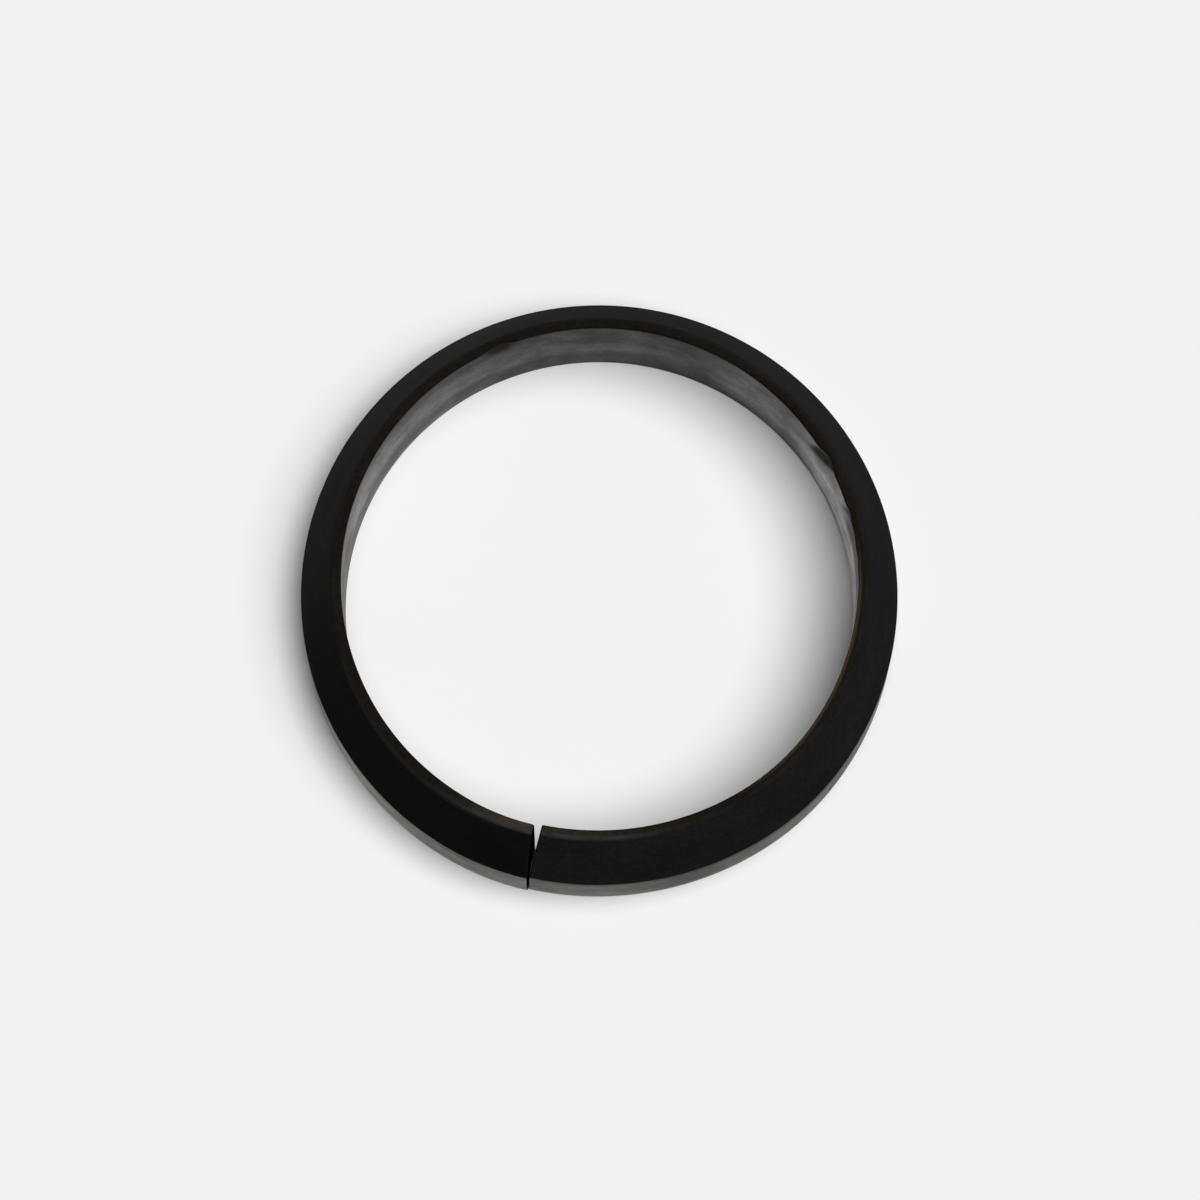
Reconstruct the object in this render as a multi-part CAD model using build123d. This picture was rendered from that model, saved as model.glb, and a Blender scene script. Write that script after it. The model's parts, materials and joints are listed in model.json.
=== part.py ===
from build123d import *
import math
import os

# A split retaining ring, turned or moulded in one piece and lying flat on its wide face.
# Origin: centre of the bore in the flat bottom face. +Z runs up the bore axis, to the narrow end.
# Millimetres and degrees. Angles run anticlockwise about +Z, from +X.

# Section, from the bore outwards and from the bottom up
BORE_R = 14.3        # radius of the bore
LAND_W = 0.5         # flat land round the top of the bore
TAPER_W = 1.88       # how far the taper runs outwards
TAPER_H = 4.15       # how far the taper runs down
BAND_H = 3.85        # upright band under the taper

# Broken edges
CREST_R = 0.3        # land into taper
SHOULDER_R = 0.25    # taper into band
RIM_EDGE_R = 0.12    # band into bottom face
BORE_EDGE_R = 0.15   # both ends of the bore

# The slit: a slot from the bore, and a narrower split that goes on from it through the band.
# The slot's face on the sprung end leans, so that the slot closes to the split's width at its foot.
SLIT_ANGLE = -103.0  # where the split lies round the ring
SLOT_W = 0.41        # width of the slot
SLOT_SIDE = 0.03     # how far the slot's middle lies from the split, towards the sprung end
SPLIT_DEPTH = 0.68   # how far in from the band the split begins
SPLIT_MOUTH = 0.28   # its width there
SPLIT_TIP = 0.04     # its width at the band, and the least width of the slit anywhere
SLOT_END = 0.35      # how far in from there the slot narrows to meet it
SLOT_LEAN = 2.85     # lean of the slot's face on the sprung end, from upright

# The sprung end, which follows two arcs of its own and stands a little inside the circle
TAIL_ARC = 43.0      # length of the arc next to the slit
TAIL_SLACKER = 0.9   # how much larger its bore radius is than BORE_R
BEND_ARC = 26.0      # length of the arc between the tail and the rest of the ring
BEND_TIGHTER = 1.0   # how much smaller its bore radius is than BORE_R

# Worked out from the above
WALL_T = LAND_W + TAPER_W
HEIGHT = BAND_H + TAPER_H
TAIL_START = SLIT_ANGLE + TAIL_ARC
BEND_START = TAIL_START + BEND_ARC
BEND_R = BORE_R - BEND_TIGHTER
TAIL_R = BORE_R + TAIL_SLACKER


def direction(angle):
    """Unit vector in plan at an angle round the ring."""
    return Vector(1, 0, 0).rotate(Axis.Z, angle)


def section(bore_r):
    """Half section of the ring in the XZ plane, with its edges broken."""
    rim_r = bore_r + WALL_T
    corners = {
        (bore_r, 0): BORE_EDGE_R,
        (rim_r, 0): RIM_EDGE_R,
        (rim_r, BAND_H): SHOULDER_R,
        (bore_r + LAND_W, HEIGHT): CREST_R,
        (bore_r, HEIGHT): BORE_EDGE_R,
    }
    face = Polygon(*corners, align=None)
    for (x, z), radius in corners.items():
        corner = face.vertices().sort_by_distance((x, z, 0))[0]
        face = fillet(corner, radius)
    return Plane.XZ * face


def stretch(bore_r, centre, start, arc):
    """A length of the ring: the section carried round a centre, from one angle through an arc."""
    turned = revolve(section(bore_r), Axis.Z, revolution_arc=arc)
    return Pos(centre.X, centre.Y, 0) * Rot(0, 0, start) * turned


def plan_prism(outs, lows, highs):
    """An upright prism along the slit, as (distance out from the axis, low side, high side)."""
    there = list(zip(outs, lows))
    back = list(zip(reversed(outs), reversed(highs)))
    return extrude(Polygon(*there, *back, align=None), HEIGHT, both=True)


def leaning_room():
    """Everything on the near side of the slot's leaning face, as a bar along the slit."""
    top_side = SLOT_SIDE + SLOT_W / 2
    run = HEIGHT * math.tan(math.radians(SLOT_LEAN))
    below, above = top_side - 1.5 * run, top_side + 0.5 * run
    face = Polygon(
        (-WALL_T, -HEIGHT / 2),
        (below, -HEIGHT / 2),
        (above, 1.5 * HEIGHT),
        (-WALL_T, 1.5 * HEIGHT),
        align=None,
    )
    return extrude(Plane.YZ * face, 2 * (BORE_R + WALL_T))


def slit_room():
    """The room that the slit takes: slot, split and a straight run beyond the band."""
    rim_r = BORE_R + WALL_T
    split_r = rim_r - SPLIT_DEPTH
    outs = [BORE_R - WALL_T, split_r - SLOT_END, split_r, rim_r, rim_r + WALL_T]
    halves = [SLOT_W / 2, SLOT_W / 2, SPLIT_MOUTH / 2, SPLIT_TIP / 2, SPLIT_TIP / 2]
    middles = [SLOT_SIDE, SLOT_SIDE, 0, 0, 0]
    lows = [middle - half for middle, half in zip(middles, halves)]
    highs = [middle + half for middle, half in zip(middles, halves)]
    slot = plan_prism(outs, lows, highs) & leaning_room()
    split = plan_prism(outs, lows, [low + SPLIT_TIP for low in lows])
    return Rot(0, 0, SLIT_ANGLE) * (slot + split)


def split_ring():
    """The whole ring: one round stretch, then the bend and the tail, each tangent to the last."""
    centre = Vector(0, 0, 0)
    bend_centre = centre + direction(BEND_START) * (BORE_R - BEND_R)
    tail_centre = bend_centre + direction(TAIL_START) * (BEND_R - TAIL_R)
    tip = direction(SLIT_ANGLE) * (BORE_R + WALL_T) - tail_centre
    tail_arc = tip.get_signed_angle(direction(TAIL_START), Vector(0, 0, 1))
    round_arc = 360 - TAIL_ARC - BEND_ARC
    slit = slit_room()
    round_part = stretch(BORE_R, centre, BEND_START, round_arc) - slit
    bend = stretch(BEND_R, bend_centre, TAIL_START, BEND_ARC)
    tail = stretch(TAIL_R, tail_centre, TAIL_START - tail_arc, tail_arc) - slit
    return round_part + bend + tail


os.makedirs("parts", exist_ok=True)
export_step(split_ring(), "parts/split_ring.step")
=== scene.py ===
import json
import math

import bpy
import numpy as np
from mathutils import Matrix, Vector
from mathutils.geometry import delaunay_2d_cdt


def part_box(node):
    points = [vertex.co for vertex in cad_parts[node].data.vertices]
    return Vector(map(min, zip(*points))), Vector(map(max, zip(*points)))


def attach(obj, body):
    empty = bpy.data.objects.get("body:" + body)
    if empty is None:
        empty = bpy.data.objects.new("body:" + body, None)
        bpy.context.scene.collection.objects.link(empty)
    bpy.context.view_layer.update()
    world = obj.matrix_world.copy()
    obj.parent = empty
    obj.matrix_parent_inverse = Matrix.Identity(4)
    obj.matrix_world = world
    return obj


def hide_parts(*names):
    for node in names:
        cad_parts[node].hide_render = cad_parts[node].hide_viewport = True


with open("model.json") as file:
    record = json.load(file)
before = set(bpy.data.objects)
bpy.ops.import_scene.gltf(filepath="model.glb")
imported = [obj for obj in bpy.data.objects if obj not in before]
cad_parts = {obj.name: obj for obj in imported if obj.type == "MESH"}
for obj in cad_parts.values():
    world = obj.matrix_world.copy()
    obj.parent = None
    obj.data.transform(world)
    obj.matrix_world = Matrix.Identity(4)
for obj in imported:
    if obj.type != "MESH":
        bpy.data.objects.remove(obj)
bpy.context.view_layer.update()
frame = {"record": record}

MM = 0.001

# The ring, in millimetres and degrees anticlockwise from +X. Its bore, height and wall come
# from the frame, and the rest of this block repeats the part's own sizes.
_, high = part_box("split_ring")
BORE_R = next(m["dims"]["r_mm"] for m in frame["record"]["mounts"] if m["name"] == "bore")
HEIGHT = high.z / MM
WALL_T = high.x / MM - BORE_R
BAND_H = 3.85        # upright band under the taper
LAND_W = 0.5         # flat land round the top of the bore
CREST_R = 0.3        # land into taper
SHOULDER_R = 0.25    # taper into band
RIM_EDGE_R = 0.12    # band into bottom face
BORE_EDGE_R = 0.15   # both ends of the bore
SLIT_ANGLE = -103.0
SLOT_W = 0.41        # the slot, from the bore
SLOT_SIDE = 0.03     # how far its middle lies from the split, towards the sprung end
SLOT_END = 0.35      # over this length it narrows to the split
SLOT_LEAN = 2.85     # lean of its face on the sprung end, from upright
SPLIT_DEPTH = 0.68   # the split, from the band inwards
SPLIT_MOUTH = 0.28   # its width where the slot meets it
SPLIT_TIP = 0.04     # its width at the band
TAIL_ARC = 43.0      # the arc of the sprung end, which is right of the slit
TAIL_SLACKER = 0.9   # how much larger its bore radius is
BEND_ARC = 26.0      # the arc between it and the rest of the ring
BEND_TIGHTER = 1.0   # how much smaller its bore radius is

TAIL_START = SLIT_ANGLE + TAIL_ARC
BEND_START = TAIL_START + BEND_ARC
TAIL_R = BORE_R + TAIL_SLACKER
BEND_R = BORE_R - BEND_TIGHTER

# Small forms that only this model has
SLIT_LEAST = 0.012   # width of the slit low down, where the leaning face all but meets the other
SLIT_EDGE = 0.06     # break along the edges of the two cut faces
PINCH_ARC = 16.0     # to the left of the slit, where the ring's end is bent in
PINCH = 0.05         # by so much at the slit

# The mesh
COLUMNS = 1150       # points round the ring
FILLET_POINTS = 5    # points round each corner of the section
BORE_ROWS = 38       # spans up the bore, between its two corners, and so on round the section
LAND_ROWS = 3
TAPER_ROWS = 8
BAND_ROWS = 4
BASE_ROWS = 8
FACE_PITCH = 0.22    # between points inside a cut face
FACE_ROOM = 0.8 * FACE_PITCH    # least room between them and the band or the taper
MERGE = 1e-6         # points of a cut face that are nearer than this are one
SEARCH = 6.0         # degrees to each side of the slit in which a cut face is looked for
HALVINGS = 40        # of that range
HAIR = 0.0015        # more than rounding can move a point
DARK, WORN, CUT = 0, 1, 2    # finishes, in the order of the ring's material slots


def heading(angle):
    """Unit vectors in plan at angles in degrees from +X, with x and y last."""
    turned = np.radians(angle)
    return np.stack([np.cos(turned), np.sin(turned)], -1)


BEND_CENTRE = heading(BEND_START) * (BORE_R - BEND_R)
TAIL_CENTRE = BEND_CENTRE + heading(TAIL_START) * (BEND_R - TAIL_R)


def pinch(angle):
    """How far the ring's last few degrees left of the slit are bent in, in millimetres."""
    return PINCH * np.clip((angle - (SLIT_ANGLE + 360 - PINCH_ARC)) / PINCH_ARC, 0, 1) ** 2


def place(angle, out, up):
    """Points of the ring in millimetres: angle round it, out from its bore, up from its base."""
    on_tail = angle < TAIL_START
    on_bend = ~on_tail & (angle < BEND_START)
    radius = np.where(on_tail, TAIL_R, np.where(on_bend, BEND_R, BORE_R)) + out - pinch(angle)
    centre = np.where(on_bend[..., None], BEND_CENTRE, np.zeros(2))
    centre = np.where(on_tail[..., None], TAIL_CENTRE, centre)
    plan = centre + heading(angle) * radius[..., None]
    return np.concatenate([plan, up[..., None]], -1)


# ---- The section and the columns round the ring ----

def rounded(before, corner, after, radius):
    """Points of the arc that rounds a corner of the section."""
    back = (before - corner) / np.linalg.norm(before - corner)
    on = (after - corner) / np.linalg.norm(after - corner)
    half = math.acos(back @ on) / 2
    middle = (back + on) / np.linalg.norm(back + on)
    centre = corner + middle * radius / math.sin(half)
    first = corner + back * radius / math.tan(half) - centre
    last = corner + on * radius / math.tan(half) - centre
    start = math.atan2(first[1], first[0])
    turn = (math.atan2(last[1], last[0]) - start + math.pi) % (2 * math.pi) - math.pi
    angles = start + turn * np.linspace(0, 1, FILLET_POINTS)
    return centre + radius * np.stack([np.cos(angles), np.sin(angles)], -1)


def section():
    """The section's outline as (out, up) points, from the foot of the bore upwards and round."""
    corners = np.array([(0, 0), (0, HEIGHT), (LAND_W, HEIGHT), (WALL_T, BAND_H), (WALL_T, 0)])
    radii = [BORE_EDGE_R, BORE_EDGE_R, CREST_R, SHOULDER_R, RIM_EDGE_R]
    rows = [BORE_ROWS, LAND_ROWS, TAPER_ROWS, BAND_ROWS, BASE_ROWS]
    arcs = [rounded(corners[i - 1], corners[i], corners[(i + 1) % 5], radii[i]) for i in range(5)]
    outline = []
    for i in range(5):
        outline.extend(arcs[i])
        start, stop = arcs[i][-1], arcs[(i + 1) % 5][0]
        shares = np.arange(1, rows[i]) / rows[i]
        outline.extend(start + (stop - start) * share for share in shares)
    return np.array(outline)


def inset(outline, depth):
    """The outline drawn in by depth."""
    along = np.roll(outline, -1, 0) - np.roll(outline, 1, 0)
    along /= np.linalg.norm(along, axis=1)[:, None]
    return outline + depth * np.stack([along[:, 1], -along[:, 0]], -1)


def face_side(out, up, side):
    """How far a cut face lies from the middle of the split, on the sprung end (side 1), whose
    face leans over the slot, or on the other end (side -1)."""
    split = WALL_T - SPLIT_DEPTH
    outs = [0, split - SLOT_END, split, WALL_T]
    halves = np.array([SLOT_W, SLOT_W, SPLIT_MOUTH, SPLIT_TIP]) / 2
    middles = np.array([SLOT_SIDE, SLOT_SIDE, 0, 0])
    other = np.interp(out, outs, halves - middles)
    if side < 0:
        return other
    leaning = SLOT_SIDE + SLOT_W / 2 - math.tan(math.radians(SLOT_LEAN)) * (HEIGHT - up)
    upright = np.interp(out, outs, halves + middles)
    return np.maximum(np.minimum(upright, leaning), SLIT_LEAST - other)


def face_angle(out, up, side, step=0.0):
    """Angle where the cut face of the sprung end (side 1) or of the other end (side -1) passes
    through the points at this distance out and up, or where it is a step short of that face."""
    wanted = step + face_side(out, up, side)
    across = heading(SLIT_ANGLE + 90)
    base = SLIT_ANGLE if side > 0 else SLIT_ANGLE + 360
    near, far = np.full_like(out, -SEARCH), np.full_like(out, SEARCH)
    for _ in range(HALVINGS):
        middle = (near + far) / 2
        reached = place(base + middle, out, np.zeros_like(out))[..., :2] @ across
        past = reached > wanted * side
        far, near = np.where(past, middle, far), np.where(past, near, middle)
    return base + (near + far) / 2


def ring_grid(outline):
    """Angle, out and up of every grid point. The first and last columns are the cut faces' rims."""
    rim = inset(outline, SLIT_EDGE)
    out = np.tile(outline[:, 0], (COLUMNS, 1))
    up = np.tile(outline[:, 1], (COLUMNS, 1))
    out[[0, -1]], up[[0, -1]] = rim[:, 0], rim[:, 1]
    first = face_angle(outline[:, 0], outline[:, 1], 1, SLIT_EDGE)
    last = face_angle(outline[:, 0], outline[:, 1], -1, SLIT_EDGE)
    shares = np.linspace(0, 1, COLUMNS - 2)[:, None]
    middle = first + (last - first) * shares
    ends = [face_angle(rim[:, 0], rim[:, 1], side) for side in (1, -1)]
    angle = np.vstack([ends[0], middle, ends[1]])
    return angle, out, up


def cut_face(rim):
    """Points inside a cut face's rim and the triangles that fill it, counted from the rim's."""
    outs = np.arange(FACE_PITCH, WALL_T, FACE_PITCH)
    ups = np.arange(FACE_PITCH, HEIGHT, FACE_PITCH)
    inner = np.array([(o, u) for o in outs for u in ups])
    taper_limit = LAND_W + (HEIGHT - inner[:, 1]) / (HEIGHT - BAND_H) * (WALL_T - LAND_W)
    room = np.minimum(taper_limit, WALL_T) - inner[:, 0]
    inner = inner[(room > FACE_ROOM) & (HEIGHT - inner[:, 1] > FACE_PITCH / 2)]
    points = [Vector(p) for p in np.vstack([rim, inner])]
    made = delaunay_2d_cdt(points, [], [list(range(len(rim)))], 1, MERGE)
    assert len(made[0]) == len(points), "a cut face's points were merged"
    order = [sources[0] for sources in made[3]]
    return inner, [[order[i] for i in face] for face in made[2]]


# ---- Shape of the real surface ----

# Nicks in the top edge of the bore: angle of the middle, how far they reach clockwise and
# anticlockwise in degrees, how far they cut into the land and down the wall in millimetres, and
# how far they lean anticlockwise on the way down, in degrees a millimetre.
NICKS = [
    (-0.3, 3.6, 3.2, 0.04, 9.0, 1.0),
    (5.4, 1.9, 1.9, 0.05, 2.8, 1.4),
    (11.2, 4.0, 3.6, 0.05, 4.4, 1.2),
    (15.6, 2.1, 2.4, 0.11, 3.6, 1.5),
    (28.4, 4.2, 4.4, 0.24, 3.4, 2.1),
    (112.6, 2.6, 6.8, 0.20, 1.8, 0.0),
]


def bump(offset, right, left):
    """A smooth hump, 1 at offset 0 and 0 beyond right (negative side) or left."""
    share = np.clip(np.abs(offset) / np.where(offset < 0, right, left), 0, 1)
    return (1 - share ** 2) ** 2


def nick_depth(angle, up):
    """How far the nicks cut the bore's wall back, in millimetres, at each point."""
    down = HEIGHT - up
    depth = np.zeros_like(angle)
    for middle, right, left, cut_in, cut_down, lean in NICKS:
        offset = angle - middle - lean * down
        fade = np.clip(1 - down / cut_down, 0, 1)
        depth = np.maximum(depth, cut_in * bump(offset, right, left) * fade)
    return depth


def worn(angle, out, up):
    """Distance out from the bore after the nicks, and their depth: the bore's edge is cut back,
    and the land narrows to make room."""
    depth = nick_depth(angle, up)
    share = np.clip(1 - out / LAND_W, 0, 1)
    return out + depth * share, depth * share


# ---- The mesh object ----

def grid_faces(rows):
    """The quads between the columns of the grid."""
    faces = []
    for here in range(0, (COLUMNS - 1) * rows, rows):
        beside = here + rows
        for j in range(rows):
            above = (j + 1) % rows
            faces.append((here + j, here + above, beside + above, beside + j))
    return faces


def filled_face(side, column, out, up, first_new):
    """Points inside one cut face, their marks and its triangles. Its rim is a grid column."""
    rows = out.shape[1]
    inner, triangles = cut_face(np.stack([out[column], up[column]], -1))
    angle = face_angle(inner[:, 0], inner[:, 1], side)
    points = place(angle, inner[:, 0], inner[:, 1])
    marks = np.stack([angle, inner[:, 1], inner[:, 0]], -1)
    faces = [tuple(column * rows + k if k < rows else first_new + k - rows for k in triangle)
             for triangle in triangles]
    return points, marks, faces


def ring_object():
    """The whole ring as one closed mesh, with its own coordinates kept for the materials."""
    outline = section()
    angle, out, up = ring_grid(outline)
    new_out, depth = worn(angle, out, up)
    points = place(angle, new_out, up).reshape(-1, 3)
    marks = np.stack([angle, up, out], -1).reshape(-1, 3)
    faces = grid_faces(len(outline))
    for side, column in ((1, 0), (-1, COLUMNS - 1)):
        new_points, new_marks, triangles = filled_face(side, column, out, up, len(points))
        points = np.vstack([points, new_points])
        marks = np.vstack([marks, new_marks])
        faces.extend(triangles)
    depths = np.zeros(len(points))
    depths[:depth.size] = depth.ravel()
    mesh = bpy.data.meshes.new("ring_body")
    mesh.from_pydata((points * MM).tolist(), [], faces)
    keep_marks(mesh, marks, depths)
    assign_finishes(mesh, outline)
    ring = bpy.data.objects.new("ring_body", mesh)
    bpy.context.scene.collection.objects.link(ring)
    return ring


def keep_marks(mesh, marks, depths):
    """Stores each point's angle, height and distance out from the bore before the nicks, and how
    deep its nick is."""
    mesh.attributes.new("ring_place", "FLOAT_VECTOR", "POINT")
    mesh.attributes["ring_place"].data.foreach_set("vector", marks.astype(np.float32).ravel())
    mesh.attributes.new("nick", "FLOAT", "POINT")
    mesh.attributes["nick"].data.foreach_set("value", depths.astype(np.float32))


def assign_finishes(mesh, outline):
    """DARK for the taper, the land and the edge round the bore's top, WORN for the bore, the
    band and the bottom, CUT for the two cut faces and their broken edges."""
    rows = len(outline)
    on_taper = (outline[:, 1] > BAND_H) & (outline[:, 0] > BORE_EDGE_R)
    on_edge = outline[:, 1] > HEIGHT - BORE_EDGE_R - HAIR
    dark = on_taper | on_edge
    around = (COLUMNS - 1) * rows
    finishes = [DARK if dark[j] and dark[(j + 1) % rows] else WORN for j in range(rows)]
    for index, face in enumerate(mesh.polygons):
        between_edges = rows <= index < around - rows
        face.material_index = finishes[index % rows] if between_edges else CUT
        face.use_smooth = between_edges


# ---- Materials ----
# In them, turn is the angle round the ring in degrees: -103 at the right of the slit, 0 at +X,
# 90 on the far side and 257 at the left of the slit. up and out are millimetres, as in place().

class Nodes:
    """A material's node tree, with short calls for the nodes that it uses."""

    def __init__(self, name):
        self.material = bpy.data.materials.new(name)
        self.material.use_nodes = True
        self.tree = self.material.node_tree
        self.shader = self.tree.nodes["Principled BSDF"]

    def add(self, kind, **settings):
        node = self.tree.nodes.new(kind)
        for key, value in settings.items():
            setattr(node, key, value)
        return node

    def feed(self, socket, value):
        if isinstance(value, bpy.types.NodeSocket):
            self.tree.links.new(value, socket)
        else:
            socket.default_value = value

    def mark(self, name, part):
        node = self.add("ShaderNodeAttribute", attribute_name=name)
        return node.outputs[part]

    def place(self):
        """Angle in degrees, height and distance out from the bore in millimetres."""
        node = self.add("ShaderNodeSeparateXYZ")
        self.feed(node.inputs[0], self.mark("ring_place", "Vector"))
        return node.outputs[0], node.outputs[1], node.outputs[2]

    def math(self, operation, a, b=0.0):
        node = self.add("ShaderNodeMath", operation=operation)
        self.feed(node.inputs[0], a)
        self.feed(node.inputs[1], b)
        return node.outputs[0]

    def times(self, *values):
        result = values[0]
        for value in values[1:]:
            result = self.math("MULTIPLY", result, value)
        return result

    def plus(self, *values):
        result = values[0]
        for value in values[1:]:
            result = self.math("ADD", result, value)
        return result

    def noise(self, along, up, out, detail=3.0):
        """Noise with so many waves a millimetre along the ring, up it and out from the bore."""
        mapping = self.add("ShaderNodeMapping")
        self.feed(mapping.inputs["Vector"], self.mark("ring_place", "Vector"))
        mapping.inputs["Scale"].default_value = (along * MM_A_DEGREE, up, out)
        node = self.add("ShaderNodeTexNoise")
        self.feed(node.inputs["Vector"], mapping.outputs[0])
        node.inputs["Scale"].default_value = 1.0
        node.inputs["Detail"].default_value = detail
        return node.outputs["Fac"]

    def ramp(self, value, low_in, high_in, low_out, high_out):
        """An S-shaped step from low_out to high_out."""
        node = self.add("ShaderNodeMapRange", interpolation_type="SMOOTHSTEP")
        self.feed(node.inputs["Value"], value)
        for name, number in zip(("From Min", "From Max", "To Min", "To Max"),
                                (low_in, high_in, low_out, high_out)):
            self.feed(node.inputs[name], number)
        return node.outputs["Result"]

    def hill(self, value, start, top, end_of_top, end, height=1.0):
        """Up from 0 at start to height at top, and down again from end_of_top to end."""
        return self.times(self.ramp(value, start, top, 0.0, height),
                          self.ramp(value, end_of_top, end, 1.0, 0.0))

    def mix(self, share, a, b):
        node = self.add("ShaderNodeMix", data_type="RGBA")
        self.feed(node.inputs["Factor"], share)
        self.feed(node.inputs[6], a)
        self.feed(node.inputs[7], b)
        return node.outputs[2]

    def tinted(self, value, colour):
        """A colour scaled by a value made of nodes."""
        node = self.add("ShaderNodeVectorMath", operation="SCALE")
        node.inputs[0].default_value = colour
        self.feed(node.inputs["Scale"], value)
        return node.outputs[0]


MM_A_DEGREE = math.radians(BORE_R)


def grey(value):
    """A neutral colour."""
    return (value, value, value, 1.0)


# Colours, linear. The tints scale a level of grey.
LINE_GREY = (0.031, 0.032, 0.034, 1.0)
RUST = (0.058, 0.040, 0.026, 1.0)
NEUTRAL = (1.0, 1.0, 1.0)
LAND_BROWN = (1.22, 1.0, 0.76)
BAND_WARM = (1.0, 1.0, 0.93)
NICK_BROWN = (0.016, 0.0135, 0.0085)
CUT_BROWN = (0.0075, 0.0065, 0.005)


def matte_black():
    """Taper and land: a dull black with a faint grey bloom and painted light and shade round the
    taper, darkest left of the slit, browner on the land, with a grey line along the crest beside
    the slit, and rusty along the bore's edge to the right."""
    n = Nodes("matte_black")
    turn, _, out = n.place()
    cloud = n.ramp(n.noise(0.25, 0.5, 0.5), 0.3, 0.7, 0.85, 1.15)
    grain = n.ramp(n.noise(4.0, 4.0, 4.0), 0.3, 0.7, 0.75, 1.25)
    # Painted light and shade: the taper's level round the ring, darkest left of the slit where less
    # light falls, with a faint grey bloom.
    low_bloom_and_shade = n.times(n.hill(turn, 88.0, 108.0, 136.0, 165.0, 0.0035),
                        n.ramp(out, 1.4, 2.0, 0.0, 1.0))
    bloom_and_shade = n.plus(n.hill(turn, 95.0, 125.0, 165.0, 205.0, 0.0045),
                   n.hill(turn, 45.0, 75.0, 100.0, 120.0, -0.0015),
                   n.ramp(turn, 170.0, 210.0, 0.0085, 0.0034),
                   low_bloom_and_shade)
    beside_slit = n.plus(n.ramp(turn, -98.0, -66.0, 1.0, 0.0),
                         n.ramp(turn, 228.0, 252.0, 0.0, 1.0))
    on_land = n.ramp(out, LAND_W - 0.05, LAND_W + 0.15, 1.0, 0.0)
    taper_tone = n.tinted(n.times(bloom_and_shade, cloud, grain), NEUTRAL)
    # The land is paler beside the slit.
    land_level = n.plus(0.0076, n.times(beside_slit, 0.010),
                    n.ramp(turn, 238.0, 256.0, 0.0, 0.012))
    land_tone = n.tinted(n.times(land_level, cloud, grain), LAND_BROWN)
    base = n.mix(on_land, taper_tone, land_tone)
    patchy = n.ramp(n.noise(0.5, 1.0, 2.0), 0.35, 0.65, 0.35, 1.3)
    near_line = n.times(n.hill(out, 0.30, 0.42, 0.50, 0.64),
                        n.plus(0.12, n.times(beside_slit, 0.85)), patchy)
    left_line = n.times(n.hill(out, 0.48, 0.56, 0.64, 0.76),
                        n.hill(turn, 188.0, 206.0, 238.0, 254.0, 0.33))
    marked = n.mix(n.plus(near_line, left_line), base, LINE_GREY)
    rust = n.times(n.ramp(out, 0.04, 0.26, 1.0, 0.0), n.hill(turn, -66.0, -38.0, -4.0, 14.0))
    n.feed(n.shader.inputs["Base Color"], n.mix(rust, marked, RUST))
    n.feed(n.shader.inputs["Roughness"], n.ramp(grain, 0.75, 1.25, 0.58, 0.66))
    n.shader.inputs["Specular IOR Level"].default_value = 0.006
    return n.material


STRAY = 60.0         # degrees, for noise that goes from 0 to 1


def strayed(n, turn):
    """The angle, moved to and fro by noise, so that what it bounds has ragged edges."""
    return n.plus(turn, n.times(n.plus(n.noise(0.3, 0.35, 0.3, 4.0), -0.5), STRAY))


def bore_level(n, turn, up):
    """How pale the bore is: brightest to the right, partly wear and partly painted light, with a
    patch of painted shade to the left, darker along its foot, partly as painted shade, and along
    its top edge.
    """
    round_it = n.plus(
        0.135,
        n.ramp(turn, 54.0, 68.0, 0.165, 0.0),              # all of the right: partly wear, partly painted light
        n.hill(turn, -12.0, 4.0, 28.0, 44.0, 0.35),        # brightest at the far right: partly wear, partly painted light
        n.hill(turn, 80.0, 86.0, 92.0, 98.0, 0.03),        # a pale streak on the far side
        n.ramp(turn, 106.0, 134.0, 0.0, 0.085),            # all of the left
        n.hill(turn, 138.0, 156.0, 160.0, 176.0, 0.09),    # brighter at the upper left
        n.hill(strayed(n, turn), 169.0, 182.0, 190.0, 208.0, -0.15),    # painted shade beyond it, where the wall is seen edge-on
    )
    wander = n.plus(up, n.times(n.plus(n.noise(0.45, 0.3, 0.3, 4.0), -0.5), 2.4))
    zones = n.plus(
        0.6,
        n.ramp(wander, 2.0, 3.4, 0.0, 0.4),
        n.ramp(wander, 4.0, 5.4, 0.0, -0.16),
        n.ramp(up, 7.3, 7.95, 0.0, -0.35),
    )
    return n.times(0.9, round_it, zones, bore_stain(n, turn, wander), bore_right_painted_light(n, turn, up),
                   bore_foot(n, turn, up, wander), bore_left(n, turn, wander),
                   bore_lip(n, turn, up, wander))


def bore_stain(n, turn, wander):
    """The stained upper half to the right, under the nicks."""
    return n.plus(
        1.0,
        n.times(n.hill(turn, -10.0, 0.0, 14.0, 20.0, -0.68), n.ramp(wander, 4.2, 5.6, 0.0, 1.0)),
        n.times(n.hill(turn, 20.0, 28.0, 32.0, 36.0, -0.3), n.ramp(wander, 4.4, 5.8, 0.0, 1.0)),
    )


def bore_right_painted_light(n, turn, up):
    """The paler lower part to the right: painted light where the lamp gives too little, partly
    wear.
    """
    return n.plus(1.0, n.times(n.hill(turn, -4.0, 6.0, 16.0, 50.0, 0.55),
                               n.ramp(up, 2.0, 3.0, 1.0, 0.0)))


def bore_foot(n, turn, up, wander):
    """The foot: darker to the right as painted contact shade, and paler to the left as painted
    light from the bright floor beside it.
    """
    return n.plus(
        1.0,
        n.times(n.hill(turn, 2.0, 24.0, 64.0, 84.0, -0.4), n.ramp(wander, 0.5, 1.3, 1.0, 0.0)),
        n.times(n.hill(turn, 110.0, 126.0, 146.0, 162.0, 0.5), n.ramp(up, 0.5, 1.2, 1.0, 0.0)),
    )


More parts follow.
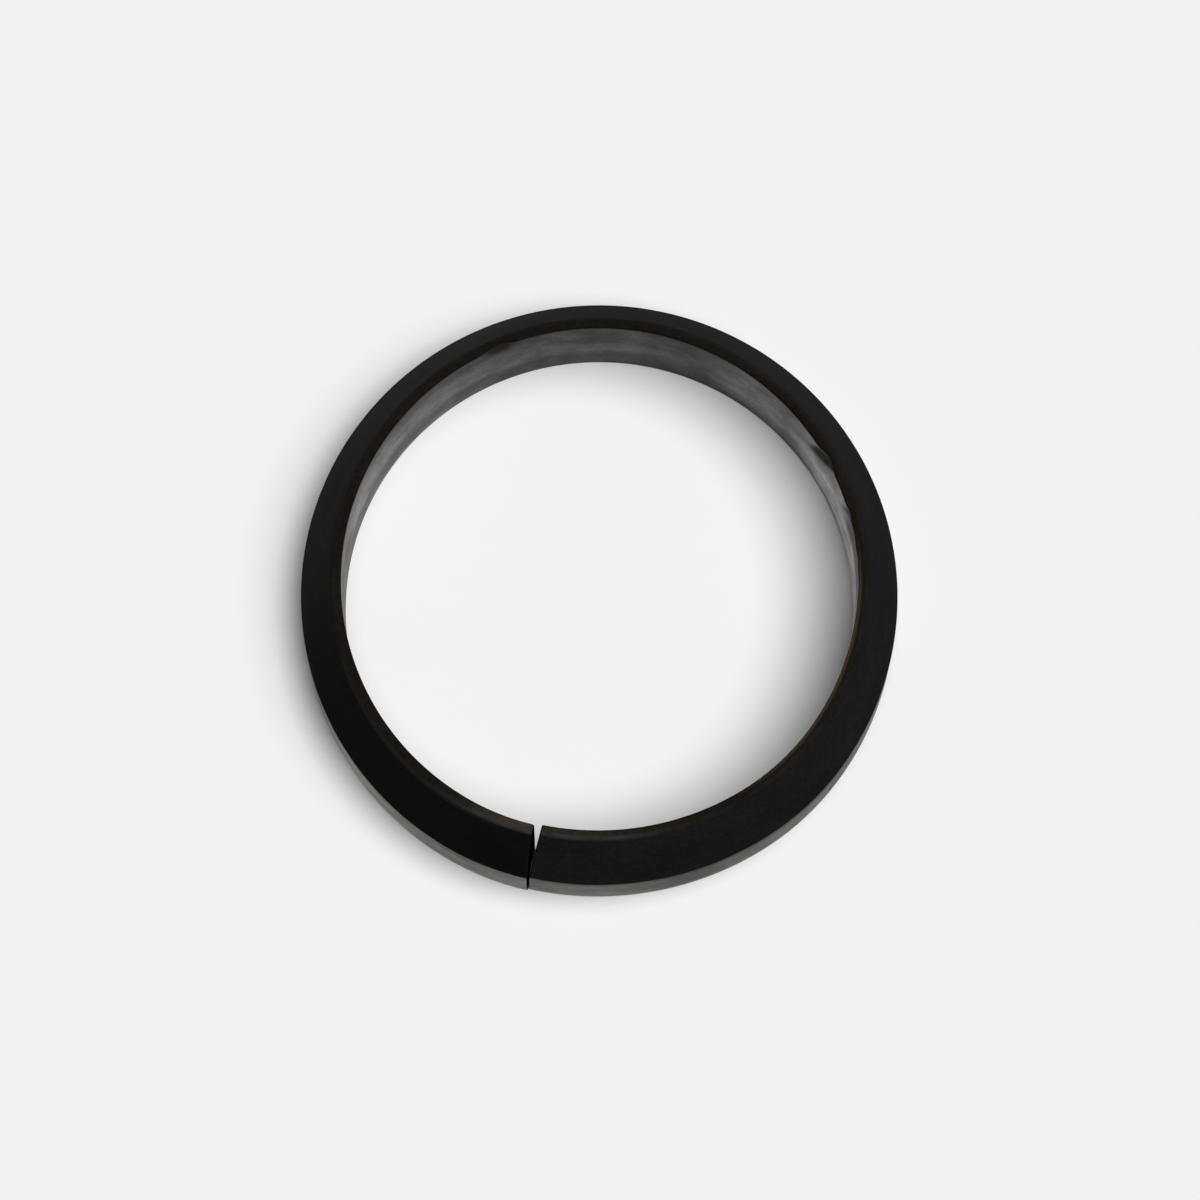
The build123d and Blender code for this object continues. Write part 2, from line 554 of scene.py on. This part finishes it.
def bore_left(n, turn, wander):
    """The darker lower part to the left."""
    return n.plus(1.0, n.times(n.hill(turn, 124.0, 150.0, 178.0, 184.0, -0.22),
                               n.ramp(wander, 2.6, 3.6, 1.0, 0.0)))


def bore_lip(n, turn, up, wander):
    """Darker patches near the top edge, on the far side and to the left."""
    return n.plus(
        1.0,
        n.times(n.hill(turn, 98.0, 112.0, 140.0, 160.0, -0.42), n.ramp(up, 5.4, 7.2, 0.0, 1.0)),
        n.times(n.hill(turn, 136.0, 156.0, 178.0, 186.0, -0.28), n.ramp(up, 6.2, 7.4, 0.0, 1.0)),
        n.times(n.hill(turn, 83.0, 88.0, 92.0, 98.0, -0.42), n.hill(wander, 4.2, 5.2, 6.8, 7.6)),
    )


def band_level(n, turn, up):
    """How pale the band is: rubbed most on the two sides of the slit, least at the shoulder, and
    with painted shade at the right.
    """
    round_it = n.plus(
        0.10,
        n.ramp(turn, -88.0, -74.0, 0.05, 0.0),             # right of the slit
        n.hill(strayed(n, turn), -50.0, -29.0, -18.0, -2.0, -0.075),    # painted shade at the right, where the band is seen edge-on
        n.hill(turn, -10.0, -2.0, 192.0, 197.0, 0.05),     # the whole far side
        n.hill(turn, -80.0, -74.0, -70.0, -64.0, -0.025),  # a dark streak right of the slit
        n.hill(strayed(n, turn), 187.0, 197.0, 200.0, 210.0, -0.05),    # darker at the left
        n.hill(turn, 203.0, 212.0, 220.0, 250.0, 0.125),   # rubbed at the lower left
        n.ramp(turn, 230.0, 254.0, 0.0, 0.085),            # left of the slit
    )
    wander = n.plus(up, n.times(n.plus(n.noise(0.3, 0.3, 0.3, 4.0), -0.5), 2.0))
    top = n.times(n.hill(turn, 222.0, 234.0, 250.0, 262.0, 0.22), n.ramp(up, 2.6, 3.4, 0.0, 1.0))
    return n.times(round_it, n.ramp(wander, 2.4, 4.2, 1.07, 0.5), n.plus(1.0, top))


def worn_grey_and_painted_light():
    """Bore and band: rubbed to a dull grey that brightens at a low angle; their levels also hold
    painted light and shade.
    """
    n = Nodes("worn_grey_and_painted_light")
    turn, up, out = n.place()
    on_band = n.ramp(out, 1.0, 1.4, 0.0, 1.0)
    level = n.plus(
        n.times(bore_level(n, turn, up), n.plus(1.0, n.times(on_band, -1.0))),
        n.times(band_level(n, turn, up), on_band),
    )
    streaks = n.ramp(n.noise(0.12, 1.5, 1.5), 0.3, 0.7, 0.92, 1.08)
    mottle = n.ramp(n.noise(0.7, 0.7, 0.7, 4.0), 0.3, 0.7, 0.8, 1.2)
    grain = n.ramp(n.noise(4.0, 4.0, 4.0, 2.0), 0.3, 0.7, 0.88, 1.12)
    nicked = n.ramp(n.mark("nick", "Fac"), 0.0, 0.09, 0.0, 1.0)
    # The tone is partly wear and partly painted light and shade.
    worn_and_painted_tone = n.times(level, streaks, mottle, grain)
    grey_tone = n.mix(on_band, n.tinted(worn_and_painted_tone, NEUTRAL), n.tinted(worn_and_painted_tone, BAND_WARM))
    nick_tone = n.tinted(grain, NICK_BROWN)
    n.feed(n.shader.inputs["Base Color"], n.mix(nicked, grey_tone, nick_tone))
    n.feed(n.shader.inputs["Roughness"], n.ramp(streaks, 0.92, 1.08, 0.5, 0.6))
    n.shader.inputs["Specular IOR Level"].default_value = 0.01
    n.shader.inputs["Sheen Weight"].default_value = 0.2
    n.shader.inputs["Sheen Roughness"].default_value = 0.15
    return n.material


def cut_black():
    """The two cut faces: a bare dull black, a little streaked across."""
    n = Nodes("cut_black")
    streaks = n.ramp(n.noise(0.5, 5.0, 0.8), 0.3, 0.7, 0.75, 1.25)
    n.feed(n.shader.inputs["Base Color"], n.tinted(streaks, CUT_BROWN))
    n.feed(n.shader.inputs["Roughness"], n.ramp(streaks, 0.75, 1.25, 0.9, 1.0))
    n.shader.inputs["Specular IOR Level"].default_value = 0.0
    return n.material


# ---- Floor, light and camera ----

FLOOR_SIZE = 4.0
PALE = 0.888         # the floor and the backdrop, as linear colour
AMBIENT = 0.04       # soft light from all round
LIGHT_ELEVATION = 74.4
LIGHT_AZIMUTH = -15.8
LIGHT_WIDTH = 43.0   # of the soft light as seen from the floor, in degrees

CAMERA_ELEVATION = 77.97
CAMERA_DISTANCE = 0.3673
CAMERA_AIM = Vector((0.000044, 0.000009, 0.00224))
CAMERA_ROLL = 0.84
LENS = 195.12
SENSOR = 36.0


def pale_floor():
    """A plain pale floor under the ring."""
    half = FLOOR_SIZE / 2
    mesh = bpy.data.meshes.new("floor")
    mesh.from_pydata([(-half, -half, 0), (half, -half, 0), (half, half, 0), (-half, half, 0)],
                     [], [(0, 1, 2, 3)])
    floor = bpy.data.objects.new("floor", mesh)
    bpy.context.scene.collection.objects.link(floor)
    n = Nodes("pale_floor")
    n.shader.inputs["Base Color"].default_value = grey(PALE)
    n.shader.inputs["Roughness"].default_value = 1.0
    n.shader.inputs["Specular IOR Level"].default_value = 0.0
    mesh.materials.append(n.material)


def soft_light():
    """One large soft lamp, high and a little to the right."""
    data = bpy.data.lights.new("soft_light", "SUN")
    data.angle = math.radians(LIGHT_WIDTH)
    elevation, azimuth = math.radians(LIGHT_ELEVATION), math.radians(LIGHT_AZIMUTH)
    towards = Vector((math.cos(elevation) * math.cos(azimuth),
                      math.cos(elevation) * math.sin(azimuth), math.sin(elevation)))
    data.energy = math.pi * (1 - AMBIENT) / math.sin(elevation)
    lamp = bpy.data.objects.new("soft_light", data)
    lamp.rotation_mode = "QUATERNION"
    lamp.rotation_quaternion = towards.to_track_quat("Z", "Y")
    bpy.context.scene.collection.objects.link(lamp)


def pale_world():
    """A faint even light. The camera and the reflections see it as pale as the floor."""
    world = bpy.data.worlds.new("pale_world")
    world.use_nodes = True
    nodes, links = world.node_tree.nodes, world.node_tree.links
    path = nodes.new("ShaderNodeLightPath")
    seen = path.outputs["Is Camera Ray"]
    for kind in ("Is Glossy Ray", "Is Transmission Ray"):
        either = nodes.new("ShaderNodeMath")
        either.operation = "MAXIMUM"
        links.new(seen, either.inputs[0])
        links.new(path.outputs[kind], either.inputs[1])
        seen = either.outputs[0]
    colour = nodes.new("ShaderNodeMix")
    colour.data_type = "RGBA"
    colour.inputs[6].default_value = grey(AMBIENT)
    colour.inputs[7].default_value = grey(PALE)
    links.new(seen, colour.inputs["Factor"])
    links.new(colour.outputs[2], nodes["Background"].inputs["Color"])
    bpy.context.scene.world = world


def photo_camera():
    """The camera, almost straight above and a little in front."""
    data = bpy.data.cameras.new("camera")
    data.lens = LENS
    data.sensor_width = SENSOR
    data.clip_start, data.clip_end = 0.01, 20.0
    camera = bpy.data.objects.new("camera", data)
    elevation = math.radians(CAMERA_ELEVATION)
    camera.location = CAMERA_DISTANCE * Vector((0, -math.cos(elevation), math.sin(elevation)))
    looking = (CAMERA_AIM - camera.location).to_track_quat("-Z", "Y")
    camera.rotation_mode = "QUATERNION"
    roll = Matrix.Rotation(math.radians(CAMERA_ROLL), 3, "Z").to_quaternion()
    camera.rotation_quaternion = looking @ roll
    bpy.context.scene.collection.objects.link(camera)
    bpy.context.scene.camera = camera


ring = ring_object()
for material in (matte_black(), worn_grey_and_painted_light(), cut_black()):
    ring.data.materials.append(material)
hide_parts("split_ring")
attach(ring, "root")

pale_floor()
soft_light()
pale_world()
photo_camera()
bpy.context.scene.view_settings.view_transform = "Standard"
